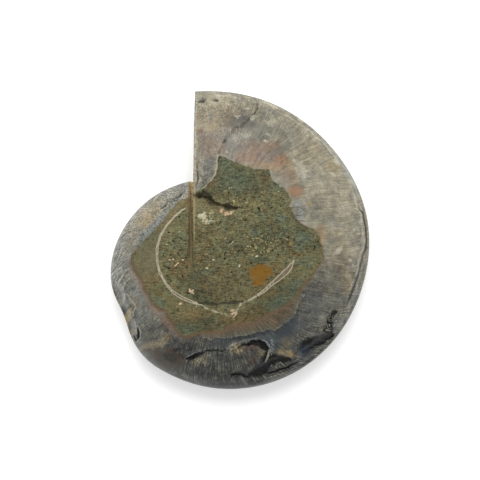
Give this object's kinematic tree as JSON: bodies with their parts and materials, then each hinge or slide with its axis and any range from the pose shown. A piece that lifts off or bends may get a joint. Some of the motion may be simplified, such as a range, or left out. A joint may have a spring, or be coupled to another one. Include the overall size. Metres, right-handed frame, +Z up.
{
  "type": "ammonite fossil",
  "caption": "Sawn and ground ammonite with a nacre flank, an olive sandstone middle and a saw kerf, lying flat.",
  "frame": {"origin": "under the middle of the outline's box, level with the ground underside that it rests on", "axes": "+Z up out of the ground upper face, +Y towards the outer corner of the sawn mouth, +X towards the broad side of the last whorl"},
  "size_m": [0.0956, 0.11, 0.027],
  "materials": {
    "fossil_stone": "ground and polished"
  },
  "bodies": {
    "root": {"ammonite": "fossil_stone"}
  },
  "joints": []
}
